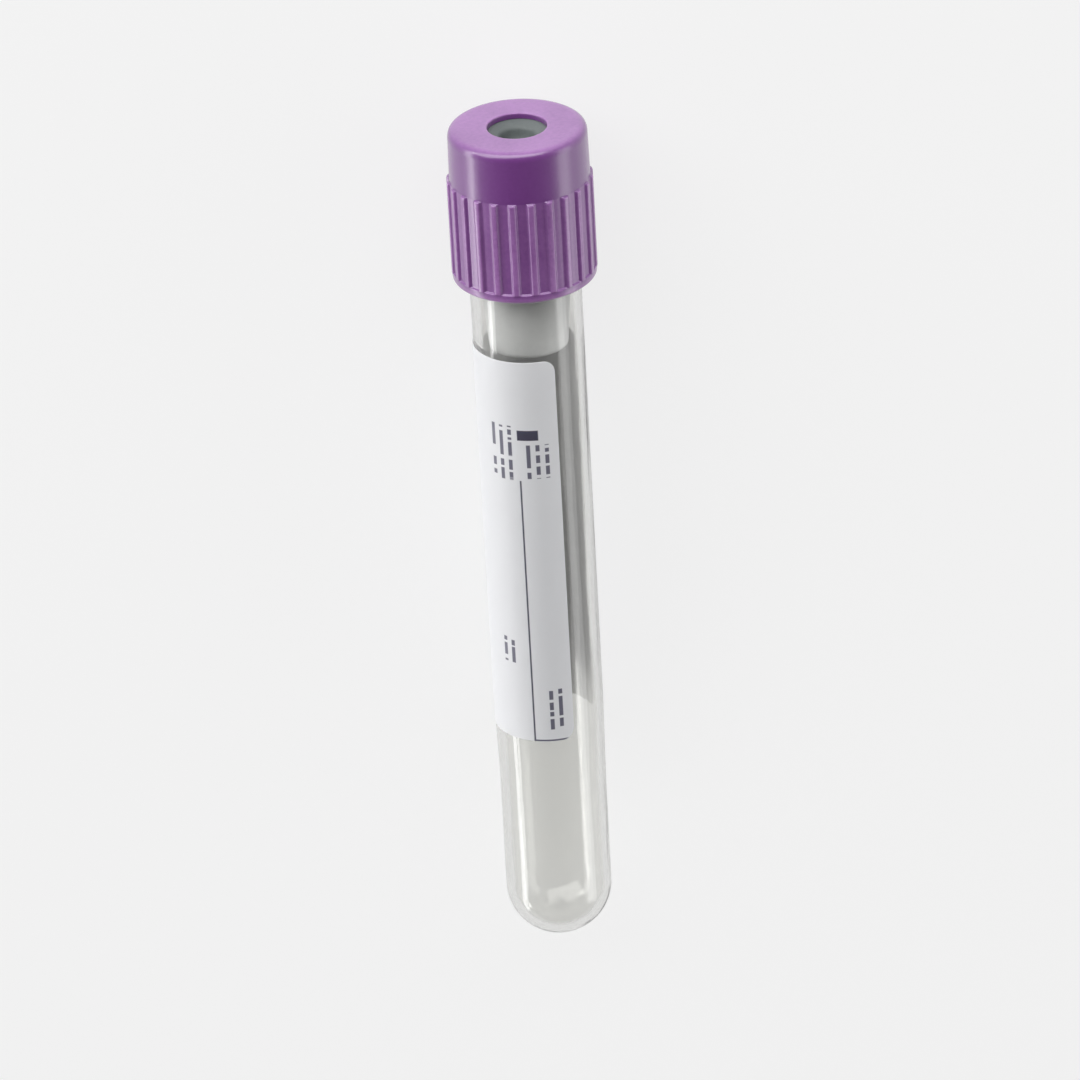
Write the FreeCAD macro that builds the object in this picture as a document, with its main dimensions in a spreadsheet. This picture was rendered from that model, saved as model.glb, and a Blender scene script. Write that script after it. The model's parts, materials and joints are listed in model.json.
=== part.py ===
import FreeCAD, Part
import math
import os
import Sketcher
from FreeCAD import Placement, Rotation, Vector

# Capped blood collection tube: clear round-bottomed tube, paper label, rubber stopper, ribbed shield.
# Each piece is drawn upright about its own Z axis, the tube's round bottom at height 0 and its mouth
# up, and all four then lie down together by one placement. Lying, the round end and two neighbouring
# ribs of the shield rest on the floor at Z = 0, and the shield is towards +X. Millimetres.

DRIVING_SIZES = [
    # alias, millimetres (or count, or degrees), meaning
    ("tube_length", 100.0, "round bottom to rim"),
    ("tube_radius", 6.5, "outside of the tube from below its label to its rim"),
    ("bottom_radius", 6.35, "outside of the round bottom and of the straight end above it"),
    ("straight_high", 23.0, "height where the straight end stops"),
    ("widened_high", 29.0, "height where the tube has widened to its upper radius"),
    ("tube_wall", 1.0, "wall and bottom of the tube"),
    ("rim_edge", 0.3, "bevels of the tube's rim"),
    ("label_low", 29.4, "height of the label's lower edge"),
    ("label_high", 79.7, "height of the label's upper edge"),
    ("label_start", -80.0, "degrees from the floor side to the label's first edge"),
    ("label_cover", 285.0, "degrees of the tube that the label covers"),
    ("label_corner", 1.5, "rounding of the label's corners"),
    ("paper", 0.08, "thickness of the label"),
    ("glue_film", 0.02, "between the label and the tube"),
    ("shield_top", 106.9, "height of the shield's flat top"),
    ("shield_low", 88.0, "height of the shield's lower edge"),
    ("top_wall", 0.75, "thickness of the shield round its port"),
    ("port_radius", 3.45, "needle port in the shield"),
    ("port_edge", 0.15, "bevel of the port's upper edge"),
    ("skirt_radius", 8.15, "shield above its ribs and between them"),
    ("shoulder_round", 0.5, "rounding of the shield's top edge"),
    ("chamber_radius", 7.05, "inside of the shield, round the flange"),
    ("bead_radius", 6.7, "inside of the bead that the flange sits on"),
    ("bead_height", 0.8, "height of that bead"),
    ("hem_radius", 8.4, "smooth ring below the ribs"),
    ("hem_height", 1.3, "height of that ring, with its slope"),
    ("hem_slope", 0.6, "slope at the ring's lower edge"),
    ("lead_in", 0.3, "slope inside the shield's lower edge"),
    ("rib_count", 24.0, "ribs round the shield"),
    ("crest_radius", 8.5, "shield over its ribs"),
    ("rib_crest_width", 0.6, "rib at its crest"),
    ("rib_foot_width", 1.1, "rib where it leaves the skirt"),
    ("rib_high", 100.7, "height where the ribs end"),
    ("flange_radius", 6.95, "stopper's flange"),
    ("plug_gap", 0.03, "plug to the tube's bore"),
    ("plug_seal_low", 90.5, "height where the sealing part of the plug ends"),
    ("plug_low", 79.3, "height of the plug's lower end"),
    ("plug_end_radius", 4.6, "plug at its lower end"),
    ("plug_edge", 0.7, "bevel of the plug's lower end"),
    ("hollow_radius", 2.7, "hollow in the plug"),
    ("hollow_depth", 17.5, "depth of that hollow to its dome"),
    ("dish_radius", 3.3, "dish in the stopper, in line with the port"),
    ("dish_depth", 0.45, "depth of the dish where its well begins"),
    ("well_radius", 1.75, "well in the middle of the dish"),
    ("well_depth", 1.2, "depth of the well below the stopper's top"),
]


class Size:
    """A size that carries its value and the sheet expression that it comes from."""

    def __init__(self, value, text=None):
        self.value = float(value)
        self.text = text or repr(float(value))

    def __add__(self, other):
        other = as_size(other)
        return Size(self.value + other.value, f"({self.text} + {other.text})")

    def __sub__(self, other):
        other = as_size(other)
        return Size(self.value - other.value, f"({self.text} - {other.text})")

    def __mul__(self, other):
        other = as_size(other)
        return Size(self.value * other.value, f"({self.text} * {other.text})")

    def __truediv__(self, other):
        other = as_size(other)
        return Size(self.value / other.value, f"({self.text} / {other.text})")

    def __rsub__(self, other):
        return as_size(other) - self

    def __rtruediv__(self, other):
        return as_size(other) / self


def as_size(number):
    return number if isinstance(number, Size) else Size(number)


def root(size):
    return Size(math.sqrt(size.value), f"sqrt({size.text})")


def sine(degrees):
    return Size(math.sin(math.radians(degrees.value)), f"sin({degrees.text})")


def cosine(degrees):
    return Size(math.cos(math.radians(degrees.value)), f"cos({degrees.text})")


def angle_of_tangent(ratio):
    return Size(math.degrees(math.atan(ratio.value)), f"atan({ratio.text})")


def angle_of_sine(ratio):
    return Size(math.degrees(math.asin(ratio.value)), f"asin({ratio.text})")


RIGHT_ANGLE = Size(90, "90 deg")


class Arc:
    """An edge of an outline that is an arc: its radius and the place of its centre."""

    def __init__(self, radius, centre_x, centre_y):
        self.radius = as_size(radius)
        self.centre = (as_size(centre_x), as_size(centre_y))


def bind(thing, path, size):
    """Set a property of thing by the sheet expression of a size."""
    thing.setExpression(path, size.text)


def fill_sheet(doc):
    """Put the driving sizes in a sheet, and return them by name."""
    sheet = doc.addObject("Spreadsheet::Sheet", "Sizes")
    sizes = {}
    for row, (alias, number, meaning) in enumerate(DRIVING_SIZES, start=1):
        sheet.set(f"A{row}", meaning)
        sheet.set(f"B{row}", str(number))
        sheet.setAlias(f"B{row}", alias)
        sizes[alias] = Size(number, f"Sizes.{alias}")
    doc.recompute()
    return sizes


def new_body(doc, label):
    body = doc.addObject("PartDesign::Body", label)
    body.Label = label
    return body


def new_sketch(body, name, role):
    """Start a sketch on one of the body's own origin planes."""
    sketch = body.newObject("Sketcher::SketchObject", name)
    planes = [plane for plane in body.Origin.OriginFeatures if plane.Role == role]
    sketch.AttachmentSupport = [(planes[0], "")]
    sketch.MapMode = "FlatFace"
    return sketch


def arc_geometry(start, end, arc):
    """Return the arc from start to end, and which of its ends is the start."""
    centre_x, centre_y = arc.centre[0].value, arc.centre[1].value
    start_angle = math.atan2(start[1].value - centre_y, start[0].value - centre_x)
    end_angle = math.atan2(end[1].value - centre_y, end[0].value - centre_x)
    anticlockwise = math.sin(end_angle - start_angle) > 0
    circle = Part.Circle(Vector(centre_x, centre_y, 0), Vector(0, 0, 1), arc.radius.value)
    if anticlockwise:
        return Part.ArcOfCircle(circle, start_angle, end_angle), 1
    return Part.ArcOfCircle(circle, end_angle, start_angle), 2


def place_point(sketch, edge, end, across, up):
    """Tie one end of an edge to its distances from the sketch's origin."""
    for axis, kind, distance in ((-2, "DistanceX", across), (-1, "DistanceY", up)):
        if distance.value == 0:
            sketch.addConstraint(Sketcher.Constraint("PointOnObject", edge, end, axis))
            continue
        number = sketch.addConstraint(Sketcher.Constraint(kind, -1, 1, edge, end, distance.value))
        name = f"{kind}_{edge}"
        sketch.renameConstraint(number, name)
        bind(sketch, f"Constraints.{name}", distance)


def set_radius(sketch, edge, radius):
    number = sketch.addConstraint(Sketcher.Constraint("Radius", edge, radius.value))
    sketch.renameConstraint(number, f"Radius_{edge}")
    bind(sketch, f"Constraints.Radius_{edge}", radius)


def draw_outline(sketch, steps):
    """Draw a closed outline. Each step is a corner (across, up), or the Arc to the next corner."""
    earlier = sketch.GeometryCount
    corners = []
    arcs = {}
    for step in steps:
        if isinstance(step, Arc):
            arcs[len(corners) - 1] = step
        else:
            corners.append((as_size(step[0]), as_size(step[1])))
    first_ends = []
    for edge, start in enumerate(corners):
        end = corners[(edge + 1) % len(corners)]
        if edge in arcs:
            geometry, first_end = arc_geometry(start, end, arcs[edge])
        else:
            start_point = Vector(start[0].value, start[1].value, 0)
            end_point = Vector(end[0].value, end[1].value, 0)
            geometry, first_end = Part.LineSegment(start_point, end_point), 1
        sketch.addGeometry(geometry)
        first_ends.append(first_end)
    for index, start in enumerate(corners):
        edge = earlier + index
        following = (index + 1) % len(corners)
        last_end = 3 - first_ends[index]
        next_edge = earlier + following
        sketch.addConstraint(Sketcher.Constraint("Coincident", edge, last_end, next_edge, first_ends[following]))
        place_point(sketch, edge, first_ends[index], *start)
        if index in arcs:
            set_radius(sketch, edge, arcs[index].radius)


def turn_outline(body, name, sketch):
    """Revolve a sketch about its own vertical axis."""
    turned = body.newObject("PartDesign::Revolution", name)
    turned.Profile = sketch
    turned.ReferenceAxis = (sketch, ["V_Axis"])
    turned.Angle = 360
    sketch.Visibility = False
    return turned


def make_tube(doc, size):
    """Clear moulded tube with a half-ball bottom of even wall, a little narrower at its lower end."""
    ball = size["bottom_radius"]
    straight = size["straight_high"]
    widened = size["widened_high"]
    wall = size["tube_wall"]
    rim = size["tube_length"]
    edge = size["rim_edge"]
    outer = size["tube_radius"]
    inner = outer - wall
    body = new_body(doc, "tube")
    # The section is drawn on the side away from the floor, so that no seam of the surface touches it.
    sketch = new_sketch(body, "tube_section", "XZ_Plane")
    sketch.AttachmentOffset = Placement(Vector(), Rotation(Vector(0, 1, 0), 180))
    draw_outline(sketch, [
        (0, 0),
        Arc(ball, 0, ball),
        (ball, ball),
        (ball, straight),
        (outer, widened),
        (outer, rim - edge),
        (outer - edge, rim),
        (inner + edge, rim),
        (inner, rim - edge),
        (inner, widened),
        (ball - wall, straight),
        (ball - wall, ball),
        Arc(ball - wall, 0, ball),
        (0, wall),
    ])
    turn_outline(body, "tube_wall_turned", sketch)
    return body


def make_label(doc, size):
    """Paper label wrapped round the tube, short of a full turn, so that a clear window is left."""
    low, high = size["label_low"], size["label_high"]
    inside = size["tube_radius"] + size["glue_film"]
    body = new_body(doc, "label")
    sketch = new_sketch(body, "label_section", "XZ_Plane")
    sketch.AttachmentOffset = Placement(Vector(), Rotation(Vector(0, 1, 0), size["label_start"].value))
    bind(sketch, "AttachmentOffset.Rotation.Angle", size["label_start"])
    draw_outline(sketch, [
        (inside, low),
        (inside + size["paper"], low),
        (inside + size["paper"], high),
        (inside, high),
    ])
    wrapped = turn_outline(body, "paper_wrapped", sketch)
    bind(wrapped, "Angle", size["label_cover"])
    doc.recompute()
    first_edge = size["label_start"]
    last_edge = first_edge + size["label_cover"]
    cut_corners(doc, body, size, "first_corners", first_edge, 1)
    cut_corners(doc, body, size, "last_corners", last_edge, -1)
    return body


def cut_corners(doc, body, size, name, azimuth, inward):
    """Round the two corners at one upright edge of the label, cutting outwards from the tube's axis.

    inward is 1 where the paper lies on the sketch's right of that edge, and -1 on its left.
    """
    whole = body.Shape.Volume
    corner = size["label_corner"]
    clear = corner * 0.2
    sketch = new_sketch(body, name, "YZ_Plane")
    sketch.AttachmentOffset = Placement(Vector(), Rotation(Vector(0, 1, 0), azimuth.value))
    bind(sketch, "AttachmentOffset.Rotation.Angle", azimuth)
    draw_outline(sketch, corner_outline(size["label_low"], corner, clear, inward, 1))
    draw_outline(sketch, corner_outline(size["label_high"], corner, clear, inward, -1))
    pocket = body.newObject("PartDesign::Pocket", f"{name}_cut")
    pocket.Profile = sketch
    pocket.Reversed = True
    bind(pocket, "Length", size["tube_radius"] + size["tube_wall"])
    sketch.Visibility = False
    doc.recompute()
    if pocket.Shape.Volume >= whole:
        raise RuntimeError(f"{name} cuts nothing off the label")


def corner_outline(edge_height, corner, clear, inward, upward):
    """Outline of the waste outside one rounded corner, a little past the paper's edges."""
    rise = corner * upward
    return [
        (0 - clear * inward, edge_height - clear * upward),
        (corner * inward, edge_height - clear * upward),
        (corner * inward, edge_height),
        Arc(corner, corner * inward, edge_height + rise),
        (0, edge_height + rise),
        (0 - clear * inward, edge_height + rise),
    ]


def make_stopper(doc, size):
    """Moulded rubber stopper: flange, sealing plug tapering to its end, dished top, hollow underside."""
    rim = size["tube_length"]
    top = size["shield_top"] - size["top_wall"]
    low = size["plug_low"]
    seal_low = size["plug_seal_low"]
    end = size["plug_end_radius"]
    edge = size["plug_edge"]
    plug = size["tube_radius"] - size["tube_wall"] - size["plug_gap"]
    hollow = size["hollow_radius"]
    dome_base = low + size["hollow_depth"]
    well_floor = top - size["well_depth"]
    body = new_body(doc, "stopper")
    sketch = new_sketch(body, "stopper_section", "XZ_Plane")
    draw_outline(sketch, [
        (0, dome_base + hollow),
        Arc(hollow, 0, dome_base),
        (hollow, dome_base),
        (hollow, low),
        (end - edge, low),
        (end, low + edge),
        (plug, seal_low),
        (plug, rim),
        (size["flange_radius"], rim),
        (size["flange_radius"], top),
        (size["dish_radius"], top),
        (size["well_radius"], top - size["dish_depth"]),
        (size["well_radius"], well_floor),
        (0, well_floor),
    ])
    turn_outline(body, "stopper_turned", sketch)
    return body


def make_closure_shield(doc, size):
    """Moulded shield: flat top with a port, smooth shoulder, ribbed grip, smooth hem, and a bead inside."""
    top = size["shield_top"]
    low = size["shield_low"]
    rim = size["tube_length"]
    ceiling = top - size["top_wall"]
    chamber = size["chamber_radius"]
    bead = size["bead_radius"]
    bead_low = rim - size["bead_height"]
    bead_slope = chamber - bead
    skirt = size["skirt_radius"]
    crest = size["crest_radius"]
    shoulder = size["shoulder_round"]
    port = size["port_radius"]
    port_edge = size["port_edge"]
    hem_top = low + size["hem_height"]
    body = new_body(doc, "closure_shield")
    sketch = new_sketch(body, "shield_section", "XZ_Plane")
    draw_outline(sketch, [
        (port, ceiling),
        (port, top - port_edge),
        (port + port_edge, top),
        (skirt - shoulder, top),
        Arc(shoulder, skirt - shoulder, top - shoulder),
        (skirt, top - shoulder),
        (skirt, hem_top),
        (size["hem_radius"], hem_top),
        (size["hem_radius"], low + size["hem_slope"]),
        (size["hem_radius"] - size["hem_slope"], low),
        (chamber + size["lead_in"], low),
        (chamber, low + size["lead_in"]),
        (chamber, bead_low - bead_slope),
        (bead, bead_low),
        (bead, rim),
        (chamber, rim),
        (chamber, ceiling),
    ])
    turned = turn_outline(body, "shield_turned", sketch)

    half_pitch = 180 / size["rib_count"]
    crest_half = size["rib_crest_width"] / 2
    foot_half = size["rib_foot_width"] / 2
    root_half = foot_half * 2 - crest_half
    rib_root = skirt * 2 - crest
    rib_sketch = new_sketch(body, "rib_section", "XY_Plane")
    rib_sketch.AttachmentOffset = Placement(Vector(), Rotation(Vector(0, 0, 1), half_pitch.value))
    bind(rib_sketch, "AttachmentOffset.Base.z", hem_top)
    bind(rib_sketch, "AttachmentOffset.Rotation.Angle", half_pitch)
    draw_outline(rib_sketch, [
        (rib_root, 0 - root_half),
        (crest, 0 - crest_half),
        (crest, crest_half),
        (rib_root, root_half),
    ])
    rib = body.newObject("PartDesign::Pad", "one_rib")
    rib.Profile = rib_sketch
    bind(rib, "Length", size["rib_high"] - hem_top)
    rib_sketch.Visibility = False
    doc.recompute()
    ribs = body.newObject("PartDesign::PolarPattern", "ribs_all_round")
    ribs.Originals = [rib]
    ribs.Axis = (sketch, ["V_Axis"])
    ribs.Angle = 360
    bind(ribs, "Occurrences", size["rib_count"])
    body.Tip = ribs
    doc.recompute()
    if ribs.Shape.Volume <= turned.Shape.Volume:
        raise RuntimeError("the ribs add nothing to the shield")
    return body


def lying_pose(size):
    """Tilt and place of the upright pieces once they lie on the round end and on two ribs.

    The floor line touches the bottom's ball and passes under the lower ends of two ribs, one on each
    side of the lowest line of the shield. The middle of the whole box is put over the origin.
    """
    ball = size["bottom_radius"]
    half_pitch = 180 / size["rib_count"]
    crest_half = size["rib_crest_width"] / 2
    rib_foot = size["crest_radius"] * cosine(half_pitch) + crest_half * sine(half_pitch)
    foot_height = size["shield_low"] + size["hem_height"]
    along = foot_height - ball
    reach = root(along * along + rib_foot * rib_foot)
    tilt = angle_of_tangent(rib_foot / along) - angle_of_sine(ball / reach)
    edge = size["shoulder_round"]
    edge_height = size["shield_top"] - edge - ball
    edge_radius = size["skirt_radius"] - edge
    far_end = edge_height * cosine(tilt) + edge_radius * sine(tilt) + edge
    ball_across = (ball - far_end) / 2
    across = ball_across - ball * cosine(tilt)
    up = ball - ball * sine(tilt)
    return tilt, across, up


def lay_down(body, pose):
    """Turn the body's upright axis to point along +X and slightly up."""
    tilt, across, up = pose
    turn = RIGHT_ANGLE - tilt
    body.Placement = Placement(Vector(across.value, 0, up.value), Rotation(Vector(0, 1, 0), turn.value))
    bind(body, "Placement.Base.x", across)
    bind(body, "Placement.Base.z", up)
    bind(body, "Placement.Rotation.Angle", turn)


def check_document(doc, bodies):
    """Stop before anything is written if a feature failed or a piece isn't one sound solid."""
    for thing in doc.Objects:
        if "Invalid" in thing.State or "Error" in thing.State:
            raise RuntimeError(f"{thing.Label} failed: {thing.State}")
    for body in bodies:
        shape = body.Shape
        if shape.isNull() or not shape.isValid() or len(shape.Solids) != 1:
            raise RuntimeError(f"{body.Label} is not one valid solid")


def write_parts(bodies):
    os.makedirs("parts", exist_ok=True)
    for body in bodies:
        body.Shape.exportStep(f"parts/{body.Label}.step")


def report_sizes(bodies, pose):
    """Print each piece's box, volume and place, to read against the real object."""
    tilt, across, up = pose
    print(f"tilt {tilt.value:.3f} degrees, round bottom's end at x {across.value:.3f}, z {up.value:.3f}")
    for body in bodies:
        box = body.Shape.BoundBox
        low = f"{box.XMin:.3f} {box.YMin:.3f} {box.ZMin:.3f}"
        high = f"{box.XMax:.3f} {box.YMax:.3f} {box.ZMax:.3f}"
        print(f"{body.Label}: {low} to {high}, {body.Shape.Volume:.1f} mm3")


document = FreeCAD.newDocument("blood_collection_tube")
sizes = fill_sheet(document)
pieces = [
    make_tube(document, sizes),
    make_label(document, sizes),
    make_stopper(document, sizes),
    make_closure_shield(document, sizes),
]
lying = lying_pose(sizes)
for piece in pieces:
    lay_down(piece, lying)
document.recompute()
check_document(document, pieces)
write_parts(pieces)
report_sizes(pieces, lying)
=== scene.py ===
import json
import bpy
import numpy as np
from mathutils import Matrix, Vector


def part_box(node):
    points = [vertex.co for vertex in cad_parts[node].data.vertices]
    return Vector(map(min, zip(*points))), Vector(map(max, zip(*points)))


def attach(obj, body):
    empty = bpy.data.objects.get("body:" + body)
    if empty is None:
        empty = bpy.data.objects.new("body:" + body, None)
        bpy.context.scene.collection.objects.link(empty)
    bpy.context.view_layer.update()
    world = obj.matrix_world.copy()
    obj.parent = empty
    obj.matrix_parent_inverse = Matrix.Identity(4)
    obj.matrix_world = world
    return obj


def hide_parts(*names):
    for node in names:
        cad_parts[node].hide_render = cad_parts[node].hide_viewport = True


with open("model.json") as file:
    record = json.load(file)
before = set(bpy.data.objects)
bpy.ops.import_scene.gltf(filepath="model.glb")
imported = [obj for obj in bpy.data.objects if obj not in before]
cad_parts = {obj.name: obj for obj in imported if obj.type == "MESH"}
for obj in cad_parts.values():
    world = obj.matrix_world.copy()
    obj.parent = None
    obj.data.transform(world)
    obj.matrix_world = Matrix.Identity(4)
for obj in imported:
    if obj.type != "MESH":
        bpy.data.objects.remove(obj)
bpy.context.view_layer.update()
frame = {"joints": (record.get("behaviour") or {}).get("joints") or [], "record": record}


# Tube: a clear PET blank with a half-ball bottom, injected at the ball's pole and drawn off its core along
# the axis. It carries every other piece. It lies on its round end and on the closure's ribs, so its axis
# rises a little towards the closure. Sizes are in millimetres, and heights run up the axis from that pole.
ball_radius = frame["record"]["mounts"][0]["dims"]["r_mm"]
mouth_radius = 6.5
wall = 1.0
widening_low, widening_high = 23.0, 29.0
widening_round = 3.0
lip_round = 0.42
tube_length = 100.0

# The closure is pulled along the tube's axis. The round end is the ball's pole, in metres in the frame.
axis = np.array(frame["joints"][0]["axis"])
floor_side = np.array([axis[2], 0.0, -axis[0]])
ball_centre = np.array([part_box("tube")[0].x + ball_radius / 1000, 0.0, ball_radius / 1000])
round_end = ball_centre - axis * ball_radius / 1000


def lay_down(radius, azimuth, height):
    """Place of tube points in the frame, in metres: the round end, plus the height along the axis, plus the
    radius turned from the side that faces the floor towards +Y by the azimuth."""
    radius, azimuth, height = np.broadcast_arrays(radius, azimuth, height)
    down = (radius * np.cos(azimuth))[..., None] * floor_side
    side = (radius * np.sin(azimuth))[..., None] * np.array([0.0, 1.0, 0.0])
    return round_end + (down + side + height[..., None] * axis) / 1000


def moulded_profile(corners, closed=False, bend_points=7, spacing=0.4):
    """Outline of (radius, height, rounding) corners with each corner eased by a curve that leaves both sides
    at its rounding: (1-t)^2 A + 2t(1-t) P + t^2 B. A side is cut about once each spacing, into 3 to 18 parts,
    which a cosine makes shorter near its ends."""
    corners = np.array(corners, dtype=float)
    points, rounding = corners[:, :2], corners[:, 2]
    before, after = np.roll(points, 1, axis=0), np.roll(points, -1, axis=0)
    to_before, to_after = before - points, after - points
    to_before /= np.maximum(np.linalg.norm(to_before, axis=1), 1e-9)[:, None]
    to_after /= np.maximum(np.linalg.norm(to_after, axis=1), 1e-9)[:, None]
    if not closed:
        rounding[[0, -1]] = 0.0
    t = np.linspace(0, 1, bend_points)[:, None]
    outline = []
    for number, point in enumerate(points):
        start = point + to_before[number] * rounding[number]
        end = point + to_after[number] * rounding[number]
        bend = (1 - t) ** 2 * start + 2 * t * (1 - t) * point + t ** 2 * end
        outline.append(bend if rounding[number] > 0 else point[None])
    runs = []
    for number in range(len(points) if closed else len(points) - 1):
        start, end = outline[number][-1], outline[(number + 1) % len(points)][0]
        parts = int(np.clip(np.linalg.norm(end - start) / spacing, 3, 18))
        share = (1 - np.cos(np.pi * np.arange(1, parts) / parts))[:, None] / 2
        runs += [outline[number], start + (end - start) * share]
    if not closed:
        runs.append(outline[-1])
    return np.concatenate(runs)


def new_piece(name, points, faces):
    """An object at the origin whose mesh has these points, in metres, and these faces."""
    mesh = bpy.data.meshes.new(name)
    mesh.from_pydata(points, [], faces)
    piece = bpy.data.objects.new(name, mesh)
    bpy.context.scene.collection.objects.link(piece)
    return piece


def surface_piece(name, grid, ends="poles"):
    """Smooth piece from a grid of points, rows along a profile and columns round the axis, which close on
    themselves. Faces join neighbouring rows and columns. ends="poles" shuts the first and last row with one
    point each, at the row's mean, and ends="loop" joins the last row to the first."""
    rows, columns = grid.shape[:2]
    index = np.arange(rows * columns).reshape(rows, columns)
    if ends == "loop":
        index = np.vstack([index, index[:1]])
    right = np.roll(index, -1, axis=1)
    quads = np.stack([index[:-1], right[:-1], right[1:], index[1:]], axis=-1).reshape(-1, 4)
    points = grid.reshape(-1, 3)
    faces = quads.tolist()
    if ends == "poles":
        poles = np.stack([grid[0].mean(axis=0), grid[-1].mean(axis=0)])
        first = np.stack([np.full(columns, rows * columns), right[0], index[0]], axis=-1)
        last = np.stack([np.full(columns, rows * columns + 1), index[-1], right[-1]], axis=-1)
        points = np.vstack([points, poles])
        faces += first.tolist() + last.tolist()
    piece = new_piece(name, points.tolist(), faces)
    piece.data.polygons.foreach_set("use_smooth", np.ones(len(faces), dtype=bool))
    piece.data.update()
    return piece


dome = np.linspace(-0.5 * np.pi, 0, 40)[1:-1, None]
outer_dome = ball_radius * np.hstack([np.cos(dome), 1 + np.sin(dome)])
inner_dome = (ball_radius - wall) * np.hstack([np.cos(dome), np.sin(dome)]) + [0, ball_radius]
wall_profile = moulded_profile([
    (ball_radius, ball_radius, 0),
    (ball_radius, widening_low, widening_round),
    (mouth_radius, widening_high, widening_round),
    (mouth_radius, tube_length, lip_round),
    (mouth_radius - wall, tube_length, lip_round),
    (mouth_radius - wall, widening_high, widening_round),
    (ball_radius - wall, widening_low, widening_round),
    (ball_radius - wall, ball_radius, 0),
])
tube_profile = np.vstack([outer_dome, wall_profile, inner_dome[::-1]])
turn = np.linspace(0, 2 * np.pi, 160, endpoint=False)
tube = surface_piece("clear_tube", lay_down(tube_profile[:, :1], turn, tube_profile[:, 1:]))


def new_finish(name):
    """A material with one Principled shader, and its node tree and that shader."""
    finish = bpy.data.materials.new(name)
    finish.use_nodes = True
    return finish, finish.node_tree, finish.node_tree.nodes["Principled BSDF"]


def feed(tree, node, inputs):
    """Fill a node's sockets, by name or number, each with a plain value or with the output that feeds it."""
    for name, value in inputs.items():
        if isinstance(value, bpy.types.NodeSocket):
            tree.links.new(value, node.inputs[name])
        else:
            node.inputs[name].default_value = value


def put(tree, kind, inputs, **settings):
    """Place a node in a tree with its own settings, and then feed its sockets."""
    node = tree.nodes.new("ShaderNode" + kind)
    for name, value in settings.items():
        setattr(node, name, value)
    feed(tree, node, inputs)
    return node


def reckon(tree, operation, *terms, clamp=False):
    """The sum, product or other operation on one to three terms, held between 0 and 1 by clamp."""
    inputs = dict(enumerate(terms))
    return put(tree, "Math", inputs, operation=operation, use_clamp=clamp).outputs[0]


def ramp(tree, value, start, end, low, high):
    """low + (high - low) (value - start) / (end - start), held at low and high beyond the start and end."""
    return put(tree, "MapRange", {0: value, 1: start, 2: end, 3: low, 4: high}).outputs[0]


def blend_values(tree, share, first, second):
    """A number between two: (1 - share) first + share second."""
    return put(tree, "Mix", {0: share, 2: first, 3: second}, data_type="FLOAT").outputs[0]


def blend_colours(tree, share, first, second):
    """A colour between two: (1 - share) first + share second."""
    return put(tree, "Mix", {0: share, 6: first, 7: second}, data_type="RGBA").outputs[2]


def new_effect(name, output, **inputs):
    """A node group for an effect that is placed more than once, with one number as its output. inputs gives
    each input's kind, Float or Vector. Returns the group, its inputs and the socket of its output."""
    group = bpy.data.node_groups.new(name, "ShaderNodeTree")
    for socket, kind in inputs.items():
        group.interface.new_socket(name=socket, in_out="INPUT", socket_type="NodeSocket" + kind)
    group.interface.new_socket(name=output, in_out="OUTPUT", socket_type="NodeSocketFloat")
    entry = group.nodes.new("NodeGroupInput")
    leave = group.nodes.new("NodeGroupOutput")
    return group, entry.outputs, leave.inputs[output]


def use_effect(tree, effect, **inputs):
    """The output of an effect's group, placed in a material with these inputs."""
    return put(tree, "Group", inputs, node_tree=effect).outputs[0]


# Handling scratches: thin bright hairs where a noise crosses its middle value, in patches. Each finish
# stretches the noise along its own strokes.
scratches, given, result = new_effect("handling_scratches", "Scratches", Vector="Vector", Fineness="Float")
swirl = put(scratches, "TexNoise", {"Vector": given["Vector"], "Scale": 90.0, "Detail": 1.0})
sway = {0: swirl.outputs["Color"], 1: (0.004, 0.004, 0.004)}
bent = put(scratches, "VectorMath", sway, operation="MULTIPLY")
moved = put(scratches, "VectorMath", {0: given["Vector"], 1: bent.outputs[0]}, operation="ADD")
strands = {"Vector": moved.outputs[0], "Scale": given["Fineness"], "Detail": 0.0}
hairs = put(scratches, "TexNoise", strands)
from_middle = reckon(scratches, "SUBTRACT", hairs.outputs["Fac"], 0.5)
distance = reckon(scratches, "ABSOLUTE", from_middle)
thin = ramp(scratches, distance, 0.0, 0.012, 1.0, 0.0)
patches = put(scratches, "TexNoise", {"Vector": given["Vector"], "Scale": 160.0, "Detail": 2.0})
where = ramp(scratches, patches.outputs["Fac"], 0.5, 0.68, 0.0, 1.0)
scratches.links.new(reckon(scratches, "MULTIPLY", thin, where), result)

# Mottle: a soft cloud with a finer grain over it, as moulded and coated surfaces have.
mottle, given, result = new_effect("soft_mottle", "Mottle", Vector="Vector", Scale="Float", Grain="Float")
cloud = put(mottle, "TexNoise", {"Vector": given["Vector"], "Scale": given["Scale"], "Detail": 3.0})
grain = put(mottle, "TexNoise", {"Vector": given["Vector"], "Scale": given["Grain"], "Detail": 2.0})
both = blend_values(mottle, 0.4, cloud.outputs["Fac"], grain.outputs["Fac"])
mottle.links.new(both, result)

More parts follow.
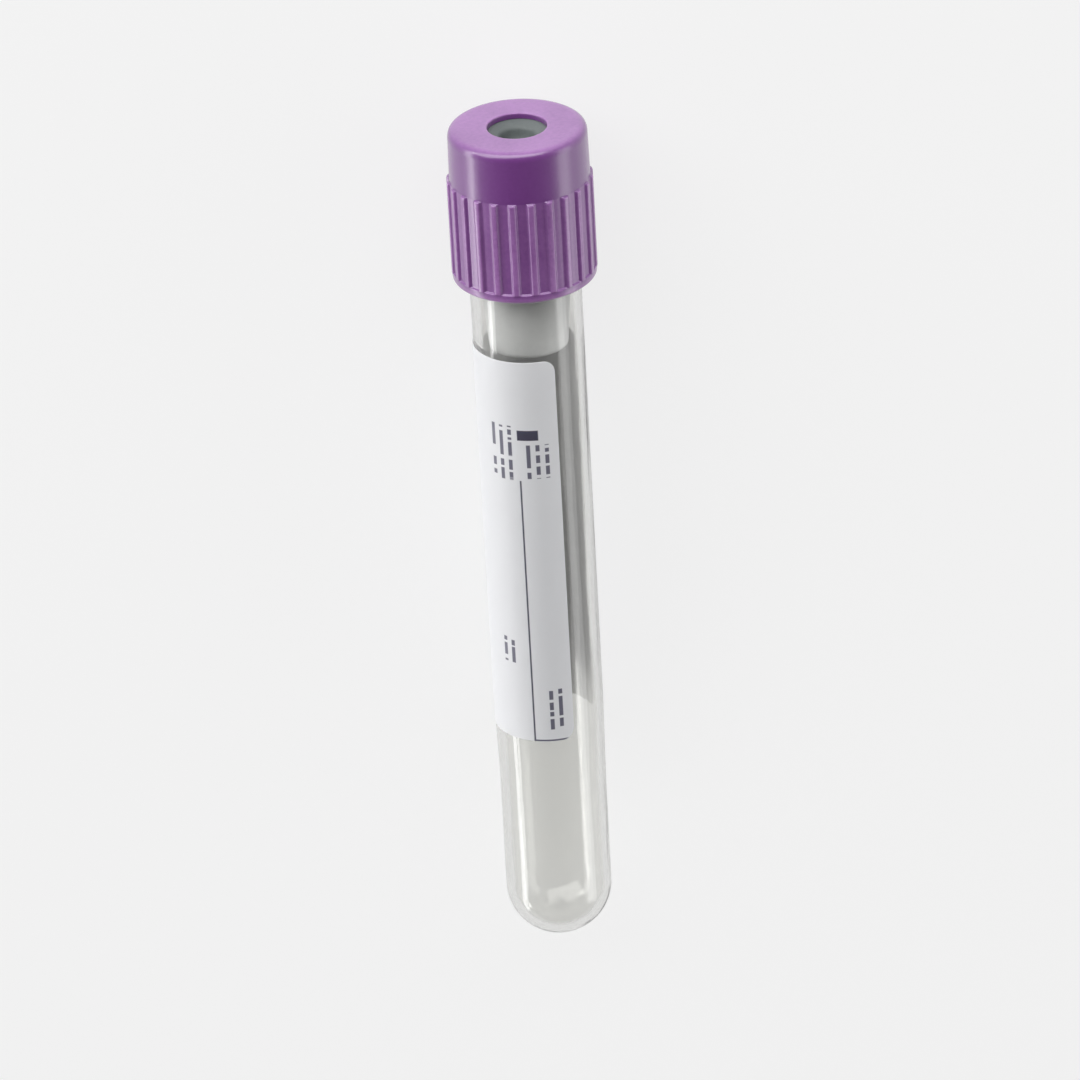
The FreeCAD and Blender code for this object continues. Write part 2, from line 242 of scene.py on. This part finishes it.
pet_pale = (0.90, 0.90, 0.88, 1)
pet_deep = (0.85, 0.85, 0.835, 1)
let_through = (0.96, 0.96, 0.96, 1)
clear, tree, shader = new_finish("clear_pet")
place = put(tree, "TexCoord", {}).outputs["Object"]
along = put(tree, "Mapping", {"Vector": place, "Scale": (0.12, 1.0, 1.0)}).outputs[0]
flow = put(tree, "TexNoise", {"Vector": along, "Scale": 420.0, "Detail": 2.0}).outputs["Fac"]
hairs = use_effect(tree, scratches, Vector=along, Fineness=260.0)
cloud = use_effect(tree, mottle, Vector=place, Scale=120.0, Grain=900.0)
haze = reckon(tree, "MULTIPLY_ADD", cloud, 0.08, 0.005)
waves = put(tree, "Bump", {"Strength": 0.10, "Distance": 0.0004, "Height": flow})
feed(tree, shader, {
    "Base Color": blend_colours(tree, cloud, pet_pale, pet_deep),
    "Roughness": reckon(tree, "MULTIPLY_ADD", hairs, 0.16, haze),
    "Normal": waves.outputs[0],
    "Transmission Weight": 1.0,
    "IOR": 1.57,
})
# The clear wall lets nearly all of a lamp's light through, so that it casts a pale shadow.
light = put(tree, "LightPath", {})
passed = put(tree, "BsdfTransparent", {"Color": let_through})
by_ray = {0: light.outputs["Is Shadow Ray"], 1: shader.outputs[0], 2: passed.outputs[0]}
lets_light = put(tree, "MixShader", by_ray)
tree.links.new(lets_light.outputs[0], tree.nodes["Material Output"].inputs["Surface"])
tube.data.materials.append(clear)
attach(tube, "tube")
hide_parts("tube")


# Label: white self-adhesive paper 0.08 mm thick with rounded corners, wrapped round the tube by machine so
# that an upright clear window is left between its edges. It is printed with small rows, a ruled strip and
# fields of colour; the rows are plain bars. The glue side shows through the window and the clear wall.
paper_inside = 6.52
paper_outside = 6.6
label_low, label_high = 29.4, 79.7
label_start, label_cover = np.radians(-80.0), np.radians(285.0)
label_corner = 1.5
label_width = label_cover * paper_outside
label_height = label_high - label_low
corner_rows, straight_rows, label_columns = 9, 40, 121

# Height of each row on the label, closer together in its rounded corners, and how far the corners stand in
# there: the corner's radius less the root of its square less the square of the distance into the corner.
corner_rise = label_corner * (1 - np.cos(np.linspace(0, 0.5 * np.pi, corner_rows)))
rise = np.concatenate([
    corner_rise,
    np.linspace(label_corner, label_height - label_corner, straight_rows)[1:-1],
    label_height - corner_rise[::-1],
])
from_edge = np.minimum(rise, label_height - rise)
into_corner = np.clip(label_corner - from_edge, 0, None)
stand_in = label_corner - np.sqrt(label_corner ** 2 - into_corner ** 2)
# Share of the width at each column: the mean of even steps and of a cosine's steps, closer near the edges.
share = (1 - np.cos(np.linspace(0, np.pi, label_columns))) / 2
share = 0.5 * share + 0.5 * np.linspace(0, 1, label_columns)
across = stand_in[:, None] + (label_width - 2 * stand_in)[:, None] * share
azimuth = label_start + across / paper_outside
there_and_back = np.hstack([azimuth, azimuth[:, ::-1]])
sheet_radius = np.hstack([np.full_like(azimuth, paper_outside), np.full_like(azimuth, paper_inside)])
sheet = lay_down(sheet_radius, there_and_back, rise[:, None] + label_low)

# Each row of points goes over the printed face and back over the glue side; two rims shut the sheet.
rows, columns = sheet.shape[:2]
index = np.arange(rows * columns).reshape(rows, columns)
right = np.roll(index, -1, axis=1)
walls = np.stack([index[:-1], right[:-1], right[1:], index[1:]], axis=-1)
half = columns // 2
outer, inner = index[:, :half], index[:, :half - 1:-1]
low_rim = np.stack([outer[0, :-1], inner[0, :-1], inner[0, 1:], outer[0, 1:]], axis=-1)
high_rim = np.stack([outer[-1, :-1], outer[-1, 1:], inner[-1, 1:], inner[-1, :-1]], axis=-1)
faces = np.vstack([walls.reshape(-1, 4), low_rim, high_rim])
glue_side = np.zeros(walls.shape[:2], dtype=np.int32)
glue_side[:, half - 1:] = 1
glue_side = np.concatenate([glue_side.ravel(), np.zeros(len(low_rim) * 2, dtype=np.int32)])
label = new_piece("paper_label", sheet.reshape(-1, 3).tolist(), faces.tolist())
label.data.polygons.foreach_set("material_index", glue_side)
flat = np.stack([
    np.hstack([across, across[:, ::-1]]) / label_width,
    np.repeat(rise[:, None], columns, axis=1) / label_height,
], axis=-1).reshape(-1, 2)
corner_points = np.empty(len(label.data.loops), dtype=np.int32)
label.data.loops.foreach_get("vertex_index", corner_points)
flat_label = label.data.uv_layers.new(name="flat_label")
flat_label.data.foreach_set("uv", flat[corner_points].ravel().astype(np.float32))
label.data.update()

# Printed patch: 1 inside a rectangle given by its centre and half size, in millimetres on the flat label.
patch, given, result = new_effect("printed_patch", "Ink", Place="Vector", Centre="Vector", Half="Vector")
offset = put(patch, "VectorMath", {0: given["Place"], 1: given["Centre"]}, operation="SUBTRACT")
unsigned = put(patch, "VectorMath", {0: offset.outputs[0]}, operation="ABSOLUTE")
outside = put(patch, "VectorMath", {0: unsigned.outputs[0], 1: given["Half"]}, operation="SUBTRACT")
sides = put(patch, "SeparateXYZ", {0: outside.outputs[0]})
worst = reckon(patch, "MAXIMUM", sides.outputs[0], sides.outputs[1])
patch.links.new(ramp(patch, worst, -0.04, 0.04, 1.0, 0.0), result)

# Printed rows: bars as long as words, in rows one pitch apart, cut where a noise is low that each row reads
# at another place.
bars, given, result = new_effect("printed_rows", "Ink", Place="Vector", Pitch="Float")
parts = put(bars, "SeparateXYZ", {0: given["Place"]})
line = reckon(bars, "DIVIDE", parts.outputs[1], given["Pitch"])
number = reckon(bars, "FLOOR", line)
within = reckon(bars, "FRACT", line)
from_middle = reckon(bars, "SUBTRACT", within, 0.5)
in_row = ramp(bars, reckon(bars, "ABSOLUTE", from_middle), 0.19, 0.24, 1.0, 0.0)
shift = reckon(bars, "MULTIPLY", number, 7.31)
spot = reckon(bars, "DIVIDE", parts.outputs[0], given["Pitch"])
spot = put(bars, "CombineXYZ", {0: spot, 1: shift})
words = put(bars, "TexNoise", {"Vector": spot.outputs[0], "Scale": 1.5, "Detail": 0.0})
in_word = ramp(bars, words.outputs["Fac"], 0.41, 0.43, 0.0, 1.0)
bars.links.new(reckon(bars, "MULTIPLY", in_row, in_word), result)

paper_dull = (0.84, 0.85, 0.89, 1)
paper_bright = (0.885, 0.89, 0.925, 1)
dark_ink = (0.075, 0.07, 0.11, 1)
soft_ink = (0.17, 0.165, 0.22, 1)
lilac_ink = (0.52, 0.42, 0.62, 1)
lavender_ink = (0.22, 0.075, 0.32, 1)
grey_ink = (0.30, 0.30, 0.36, 1)
# Each field: left, right, low and high in millimetres on the flat label, its ink, and the pitch of its rows
# or None for a solid field. A minus pitch is for rows that run along the tube.
printed_fields = [
    (1.2, 14.5, 45.6, 49.0, lavender_ink, None),
    (15.0, 17.6, 45.6, 49.0, lilac_ink, None),
    (1.6, 9.2, 35.0, 43.75, dark_ink, 1.25),
    (10.2, 17.6, 35.2, 43.2, lilac_ink, 1.6),
    (1.6, 17.6, 33.8, 34.0, grey_ink, None),
    (1.6, 17.6, 28.2, 28.4, grey_ink, None),
    (1.6, 17.6, 22.6, 22.8, grey_ink, None),
    (1.6, 17.6, 17.0, 17.2, grey_ink, None),
    (1.6, 5.4, 29.7, 32.4, dark_ink, 1.35),
    (1.6, 5.4, 24.3, 27.0, dark_ink, 1.35),
    (1.6, 5.4, 18.9, 21.6, dark_ink, 1.35),
    (2.2, 8.8, 3.0, 15.0, lilac_ink, -2.2),
    (10.8, 16.8, 3.0, 15.0, dark_ink, -1.2),
    (24.2, 27.5, 34.9, 42.0, soft_ink, -1.1),
    (27.9, 30.4, 40.2, 41.5, dark_ink, None),
    (28.6, 31.9, 35.2, 39.6, soft_ink, -1.1),
    (27.95, 28.15, 0.0, 34.9, dark_ink, None),
    # This thin line along the strip's bottom edge is painted shade: the shadow under the strip's edge, drawn
    # in ink.
    (27.95, 32.9, 0.0, 0.25, soft_ink, None),
    (24.2, 26.4, 10.3, 13.6, soft_ink, -1.1),
    (29.7, 31.9, 1.6, 7.0, soft_ink, -1.1),
]

# Light goes a little way into paper, whichever side it falls on.
paper_depth = {
    "Subsurface Weight": 0.7,
    "Subsurface Radius": (1.0, 1.0, 1.0),
    "Subsurface Scale": 0.0002,
}
paper, tree, shader = new_finish("white_paper")
unwrapped = put(tree, "UVMap", {}, uv_map="flat_label").outputs[0]
in_millimetres = {"Vector": unwrapped, "Scale": (label_width, label_height, 1.0)}
flat_place = put(tree, "Mapping", in_millimetres).outputs[0]
sides = put(tree, "SeparateXYZ", {0: flat_place})
turned_place = put(tree, "CombineXYZ", {0: sides.outputs[1], 1: sides.outputs[0]}).outputs[0]
weave = {"Vector": flat_place, "Scale": 9.0, "Detail": 5.0, "Roughness": 0.6}
fibres = put(tree, "TexNoise", weave).outputs["Fac"]
colour = blend_colours(tree, fibres, paper_dull, paper_bright)
inked = 0.0
for left, right_edge, low, high, ink, row_pitch in printed_fields:
    centre = ((left + right_edge) / 2, (low + high) / 2, 0)
    half_size = ((right_edge - left) / 2, (high - low) / 2, 1)
    amount = use_effect(tree, patch, Place=flat_place, Centre=centre, Half=half_size)
    if row_pitch:
        bar_place = turned_place if row_pitch < 0 else flat_place
        in_bars = use_effect(tree, bars, Place=bar_place, Pitch=abs(row_pitch))
        amount = reckon(tree, "MULTIPLY", amount, in_bars)
    colour = blend_colours(tree, amount, colour, ink)
    inked = reckon(tree, "MAXIMUM", inked, amount)
paper_gloss = reckon(tree, "MULTIPLY_ADD", fibres, -0.3, 0.67)
tooth = put(tree, "Bump", {"Strength": 0.25, "Distance": 0.00003, "Height": fibres})
feed(tree, shader, {
    "Base Color": colour,
    "Roughness": blend_values(tree, inked, paper_gloss, 0.34),
    "Normal": tooth.outputs[0],
    **paper_depth,
})

glue_dull = (0.74, 0.74, 0.75, 1)
glue_bright = (0.82, 0.82, 0.83, 1)
glue, tree, shader = new_finish("glue_side")
place = put(tree, "TexCoord", {}).outputs["Object"]
spread = use_effect(tree, mottle, Vector=place, Scale=260.0, Grain=1500.0)
feed(tree, shader, {
    "Base Color": blend_colours(tree, spread, glue_dull, glue_bright),
    "Roughness": reckon(tree, "MULTIPLY", spread, 0.9),
    **paper_depth,
})
label.data.materials.append(paper)
label.data.materials.append(glue)
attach(label, "tube")
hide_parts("label")


# Stopper: one moulding of grey butyl rubber. Its flange fills the closure's chamber over the tube's rim and
# its tapered plug seals the mouth. Its top is dished round a well for the needle, and its lower end is
# hollow. The plug's side is painted much paler than the rubber, as painted sheen.
plug_low = 79.3
plug_end_radius = 4.6
plug_radius = 5.47
taper_high = 90.5
flange_radius = 6.95
stopper_top = 106.15
dish_radius, dish_depth = 3.3, 0.45
well_radius, well_floor_radius, well_depth = 2.1, 1.7, 2.1
hollow_radius, hollow_depth = 2.7, 17.5
hollow_base = plug_low + hollow_depth
# The well's floor ends this close to the axis, where one point shuts it.
floor_gap = 0.02

over = np.linspace(0.5 * np.pi, 0, 16)[1:-1, None]
hollow_dome = hollow_radius * np.hstack([np.cos(over), np.sin(over)]) + [0, hollow_base]
solid_profile = moulded_profile([
    (hollow_radius, hollow_base, 0),
    (hollow_radius, plug_low, 0.35),
    (plug_end_radius, plug_low, 0.75),
    (plug_radius, taper_high, 1.2),
    (plug_radius, tube_length, 0.05),
    (flange_radius, tube_length, 0.2),
    (flange_radius, stopper_top, 0.35),
    (dish_radius, stopper_top, 0.3),
    (well_radius, stopper_top - dish_depth, 0.35),
    (well_floor_radius, stopper_top - well_depth, 0.8),
    (floor_gap, stopper_top - well_depth, 0),
])
stopper_profile = np.vstack([hollow_dome, solid_profile])
turn = np.linspace(0, 2 * np.pi, 128, endpoint=False)
stopper = surface_piece("rubber_stopper", lay_down(stopper_profile[:, :1], turn, stopper_profile[:, 1:]))

# The painted sheen covers the plug's side and end, outside the hollow, and fades out under the flange. The
# two shut ends of the profile add a point each, which it doesn't reach.
sheen_fade = 0.3
outside_hollow = stopper_profile[:, 0] > hollow_radius + sheen_fade
plug_side = np.clip((tube_length - stopper_profile[:, 1]) / sheen_fade, 0, 1) * outside_hollow
plug_sheen_attribute = stopper.data.attributes.new("painted_plug_sheen", "FLOAT", "POINT")
plug_sheen_attribute.data.foreach_set("value", np.append(np.repeat(plug_side, len(turn)), [0, 0]).astype(np.float32))

rubber_dark = (0.098, 0.114, 0.112, 1)
rubber_light = (0.158, 0.177, 0.174, 1)
# Pale grey of the painted sheen on the plug's side.
plug_sheen_colour = (0.80, 0.805, 0.81, 1)
rubber, tree, shader = new_finish("grey_rubber")
place = put(tree, "TexCoord", {}).outputs["Object"]
bloom = use_effect(tree, mottle, Vector=place, Scale=300.0, Grain=2600.0)
bare_rubber = blend_colours(tree, bloom, rubber_dark, rubber_light)
# The plug's side is mixed towards that pale grey: painted sheen, not a colour of the rubber.
painted_sheen_mask = put(tree, "Attribute", {}, attribute_name="painted_plug_sheen").outputs["Fac"]
sheen_body = reckon(tree, "MULTIPLY_ADD", bloom, 0.35, 0.65)
sheen_share = reckon(tree, "MULTIPLY", sheen_body, painted_sheen_mask)
skin = put(tree, "TexNoise", {"Vector": place, "Scale": 3800.0, "Detail": 2.0}).outputs["Fac"]
pores = put(tree, "Bump", {"Strength": 0.35, "Distance": 0.00005, "Height": skin})
feed(tree, shader, {
    "Base Color": blend_colours(tree, sheen_share, bare_rubber, plug_sheen_colour),
    "Roughness": reckon(tree, "MULTIPLY_ADD", bloom, 0.5, 0.32),
    "Normal": pores.outputs[0],
})
stopper.data.materials.append(rubber)
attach(stopper, "closure")
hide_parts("stopper")


# Closure shield: satin lavender polyethylene, moulded with a flat top, a needle port, a smooth band, ribs for
# the grip and a smooth hem. It hangs free over the tube's mouth and carries the stopper on a bead inside.
shield_low, shield_top = 88.0, 106.9
port_radius = 3.45
ceiling = stopper_top
chamber_radius = 7.05
bead_radius = 6.7
bead_foot, bead_low, bead_high = 98.85, 99.25, 99.98
skirt_radius = 8.15
band_draft = 0.1
shoulder_round = 1.0
hem_radius = 8.4
hem_step = 0.1
hem_bevel_width, hem_bevel_height = 0.5, 0.4
lead_in_width, lead_in_height = 0.25, 0.35
rib_count = 24
crest_radius = 8.5
half_crest, half_foot = 0.3, 0.55
rib_low, rib_high = 89.3, 100.7

# Four rows stand close together round the ribs' upper ends, which run out in a curve.
shield_profile = moulded_profile([
    (port_radius, ceiling, 0.1),
    (port_radius, shield_top, 0.2),
    (skirt_radius - band_draft, shield_top, shoulder_round),
    (skirt_radius, rib_high + 0.1, 0),
    (skirt_radius, rib_high, 0),
    (skirt_radius, rib_high - 0.1, 0),
    (skirt_radius, rib_high - 0.35, 0),
    (skirt_radius, rib_low, 0.12),
    (hem_radius, rib_low - hem_step, 0.12),
    (hem_radius, shield_low + hem_bevel_height, 0.15),
    (hem_radius - hem_bevel_width, shield_low, 0.2),
    (chamber_radius + lead_in_width, shield_low, 0.12),
    (chamber_radius, shield_low + lead_in_height, 0.12),
    (chamber_radius, bead_foot, 0.1),
    (bead_radius, bead_low, 0.15),
    (bead_radius, bead_high, 0.1),
    (chamber_radius, bead_high, 0.02),
    (chamber_radius, ceiling, 0.15),
], closed=True)
# Azimuths crowd together on the flanks of the ribs: half a pitch is divided at these multiples of the half
# crest's angle, and then at the middle of the groove.
pitch = 2 * np.pi / rib_count
flank_steps = np.array([0, 0.75, 0.95, 1.15, 1.4, 1.65, 1.87, 2.05, 2.6]) * half_crest / crest_radius
half_pitch = np.append(flank_steps, pitch / 2)
one_rib = np.concatenate([-half_pitch[:0:-1], half_pitch[:-1]])
turn = (pitch / 2 + pitch * np.arange(rib_count)[:, None] + one_rib).ravel()
# A rib falls from its crest to its foot as 3f^2 - 2f^3, and grows from its upper end as a quarter circle.
flank_ease = 0.06
run_out = 0.3
from_crest = np.abs((turn / pitch) % 1 - 0.5) * pitch * crest_radius
flank = (half_foot + flank_ease - from_crest) / (half_foot - half_crest + 2 * flank_ease)
flank = np.clip(flank, 0, 1)
rib_shape = flank ** 2 * (3 - 2 * flank)
profile_radius, profile_height = shield_profile[:, :1], shield_profile[:, 1:]
grown = np.clip((rib_high - profile_height) / run_out, 0, 1)
grown = np.sqrt(1 - (1 - grown) ** 2)
outer_face = profile_radius > skirt_radius - 0.02
above_hem = profile_height > rib_low - hem_step - 0.01
rib_rise = (crest_radius - profile_radius).clip(0) * grown * (outer_face & above_hem)
ribbed = lay_down(profile_radius + rib_rise * rib_shape, turn, profile_height)
shield = surface_piece("ribbed_shield", ribbed, "loop")


def near(value, middle, width):
    """A mask that is 1 at the middle and fades on both sides: e to the minus ((value - middle) / width)^2."""
    return np.exp(-((value - middle) / width) ** 2)


# Places painted lighter, partly for wear and partly as painted sheen. The port's rim is worn. The rib crests
# and the hem's edge are worn and also carry painted highlights. Less so, the flat top and the whole grip are
# lightened as painted sheen, where the light falls on them.
on_port_rim = near(profile_height, shield_top - 0.12, 0.18) * near(profile_radius, port_radius + 0.15, 0.12)
sheen_on_top = 0.75 * np.clip((profile_height - shield_top + 0.3) / 0.3, 0, 1)
on_hem = near(profile_height, shield_low + 0.45, 0.25) * (profile_radius > hem_radius - 0.2)
on_crests = np.clip((rib_rise * rib_shape - 0.24) / 0.1, 0, 1)
sheen_on_grip = 0.45 * outer_face * grown
wear_and_sheen_share = np.clip(on_port_rim + sheen_on_top + on_hem + on_crests + sheen_on_grip, 0, 1)
wear_and_sheen_attribute = shield.data.attributes.new("wear_and_sheen", "FLOAT", "POINT")
wear_and_sheen_attribute.data.foreach_set("value", wear_and_sheen_share.ravel().astype(np.float32))

lavender_deep = (0.148, 0.029, 0.205, 1)
lavender_light = (0.198, 0.046, 0.265, 1)
lavender_wear_and_sheen = (0.52, 0.25, 0.60, 1)
lavender, tree, shader = new_finish("satin_lavender")
place = put(tree, "TexCoord", {}).outputs["Object"]
cloud = use_effect(tree, mottle, Vector=place, Scale=220.0, Grain=2200.0)
slant = {"Vector": place, "Rotation": (0.6, 0.3, 0.2), "Scale": (0.5, 0.1, 1.0)}
swept = put(tree, "Mapping", slant).outputs[0]
hairs = use_effect(tree, scratches, Vector=swept, Fineness=420.0)
fresh = blend_colours(tree, cloud, lavender_deep, lavender_light)
# The pale lavender mixed in here is wear on the port's rim, crests and hem, and painted sheen and highlight
# on the top, grip, crests and hem.
wear_and_sheen_fac = put(tree, "Attribute", {}, attribute_name="wear_and_sheen").outputs["Fac"]
broken = reckon(tree, "MULTIPLY", wear_and_sheen_fac, cloud)
wear_and_sheen = reckon(tree, "MULTIPLY", broken, 0.85)
wear_and_sheen = reckon(tree, "MULTIPLY_ADD", hairs, 0.14, wear_and_sheen, clamp=True)
texture = put(tree, "TexNoise", {"Vector": place, "Scale": 2600.0, "Detail": 2.0}).outputs["Fac"]
grain_bump = put(tree, "Bump", {"Strength": 0.2, "Distance": 0.00004, "Height": texture})
feed(tree, shader, {
    "Base Color": blend_colours(tree, wear_and_sheen, fresh, lavender_wear_and_sheen),
    "Roughness": reckon(tree, "MULTIPLY_ADD", cloud, 0.3, 0.2),
    "Normal": grain_bump.outputs[0],
    "Coat Weight": 1.0,
    "Coat Roughness": 0.25,
    "Coat IOR": 1.68,
})
shield.data.materials.append(lavender)
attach(shield, "closure")
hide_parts("closure_shield")


# Studio: a pale matt floor under the tube, a soft lamp ahead of the closure and one on each side, and a white
# surround that lights less from above. The camera looks down on the lying tube with its closure at the top.
# The floor reaches this far from the tube on each side, in metres.
reach = 4.0
floor_corners = [(-reach, -reach, 0), (reach, -reach, 0), (reach, reach, 0), (-reach, reach, 0)]
floor = new_piece("studio_floor", floor_corners, [(0, 1, 2, 3)])
floor_dull = (0.84, 0.84, 0.84, 1)
floor_bright = (0.87, 0.87, 0.87, 1)
pale, tree, shader = new_finish("pale_floor")
place = put(tree, "TexCoord", {}).outputs["Object"]
soft = put(tree, "TexNoise", {"Vector": place, "Scale": 6.0, "Detail": 2.0}).outputs["Fac"]
feed(tree, shader, {
    "Base Color": blend_colours(tree, soft, floor_dull, floor_bright),
    "Roughness": 0.8,
})
# The floor is lifted towards white where it is seen: most to the camera, and less in reflections and through
# the clear wall.
lift_to_camera, lift_in_pieces = 0.78, 0.6
glow = put(tree, "Emission", {"Color": (1, 1, 1, 1), "Strength": 0.97})
light = put(tree, "LightPath", {})
seen_direct = reckon(tree, "MULTIPLY", light.outputs["Is Camera Ray"], lift_to_camera)
mirrored, through = light.outputs["Is Glossy Ray"], light.outputs["Is Transmission Ray"]
seen_in_piece = reckon(tree, "MAXIMUM", mirrored, through)
seen_in_piece = reckon(tree, "MULTIPLY", seen_in_piece, lift_in_pieces)
share_seen = reckon(tree, "MAXIMUM", seen_direct, seen_in_piece)
lifted = put(tree, "MixShader", {0: share_seen, 1: shader.outputs[0], 2: glow.outputs[0]})
tree.links.new(lifted.outputs[0], tree.nodes["Material Output"].inputs["Surface"])
floor.data.materials.append(pale)

world = bpy.data.worlds.new("white_surround")
bpy.context.scene.world = world
world.use_nodes = True
tree = world.node_tree
light = put(tree, "LightPath", {})
direction = put(tree, "TexCoord", {})
height = put(tree, "SeparateXYZ", {0: direction.outputs["Generated"]}).outputs[2]
around = ramp(tree, height, 0.0, 0.9, 0.50, 0.11)
feed(tree, tree.nodes["Background"], {
    "Color": (1, 1, 1, 1),
    "Strength": blend_values(tree, light.outputs["Is Camera Ray"], around, 1.0),
})

# Each lamp: its name, place, width and height in metres, and power in watts. All face the floor under the
# tube's middle.
for name, spot, width, height, watts in [
    ("key_softbox", (0.97, 0.28, 0.5), 2.2, 1.0, 18.5),
    ("left_softbox", (-0.05, 0.95, 0.085), 1.8, 0.16, 4.3),
    ("right_softbox", (-0.05, -0.95, 0.22), 1.4, 0.4, 3.0),
]:
    lamp = bpy.data.lights.new(name, "AREA")
    lamp.shape = "RECTANGLE"
    lamp.size, lamp.size_y = width, height
    lamp.energy = watts
    lamp_object = bpy.data.objects.new(name, lamp)
    lamp_object.location = spot
    lamp_object.rotation_euler = (-Vector(spot)).to_track_quat("-Z", "Y").to_euler()
    bpy.context.scene.collection.objects.link(lamp_object)

# The camera stands off the tube's middle, raised from its upper side towards the closure, and leans a little.
view_height = np.radians(28.0)
view_distance = 0.87
lean = np.radians(3.2)
target = np.array([0.0, 0.0, 0.0086])
from_floor = -floor_side
to_camera = np.cos(view_height) * from_floor + np.sin(view_height) * axis
upward = axis - to_camera * np.dot(axis, to_camera)
upward /= np.linalg.norm(upward)
rightward = np.cross(upward, to_camera)
up = np.cos(lean) * upward + np.sin(lean) * rightward
right_hand = np.cos(lean) * rightward - np.sin(lean) * upward
camera_data = bpy.data.cameras.new("camera")
camera_data.sensor_width = 36.0
camera_data.lens = 246.0
camera_data.clip_end = 50.0
camera = bpy.data.objects.new("camera", camera_data)
stand = Matrix([[*row] for row in np.column_stack([right_hand, up, to_camera])]).to_4x4()
stand.translation = Vector(target + view_distance * to_camera)
camera.matrix_world = stand
bpy.context.scene.collection.objects.link(camera)
bpy.context.scene.camera = camera
bpy.context.scene.view_settings.view_transform = "Standard"
